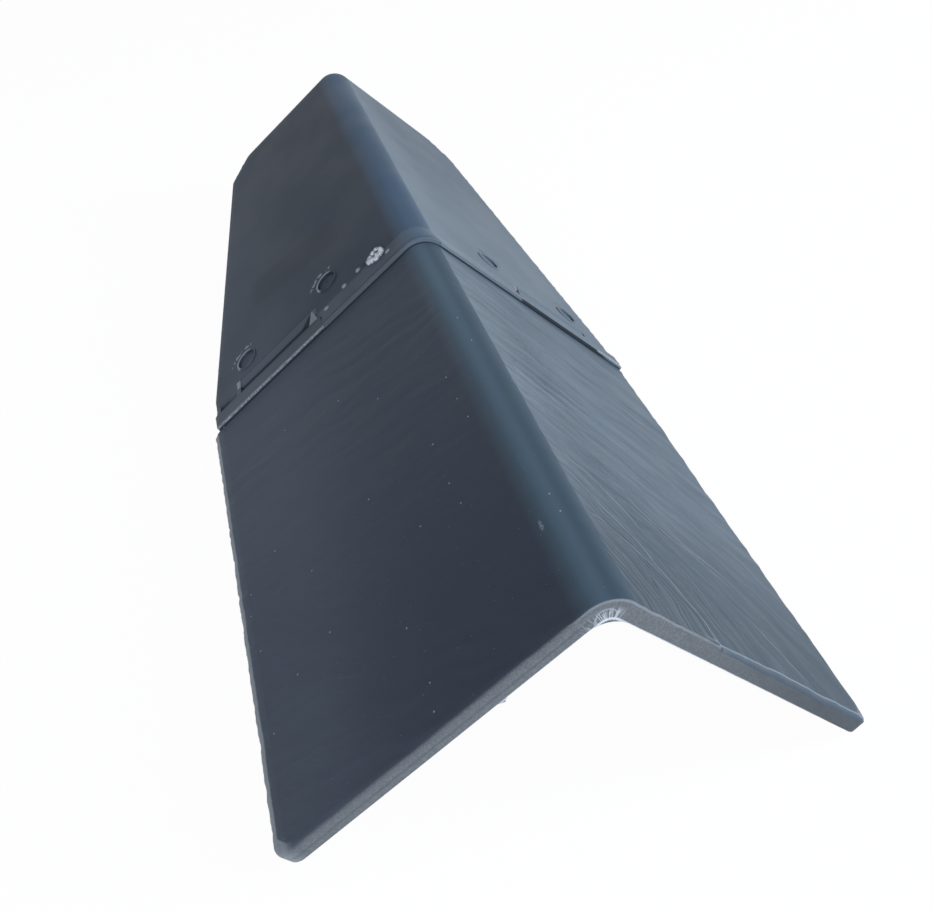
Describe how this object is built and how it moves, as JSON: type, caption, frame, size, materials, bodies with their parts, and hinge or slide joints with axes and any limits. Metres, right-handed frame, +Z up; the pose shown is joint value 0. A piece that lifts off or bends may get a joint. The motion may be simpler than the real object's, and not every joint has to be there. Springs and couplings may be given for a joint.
{
  "type": "ridge tile",
  "caption": "V-shaped moulded composite ridge tile with a rounded ridge, a dressed riven exposed part, a weather bead with troughs and a tapered headlap with nail marks.",
  "frame": {"origin": "middle of the bounding box's base, on the surface that the tile's lower edges stand on", "axes": "+Z up, +Y along the ridge towards the hidden headlap end, +X to the right seen from the exposed end"},
  "size_m": [0.2176, 0.5, 0.0991],
  "materials": {
    "composite": "satin"
  },
  "bodies": {
    "root": {"ridge_tile": "composite"}
  },
  "joints": []
}
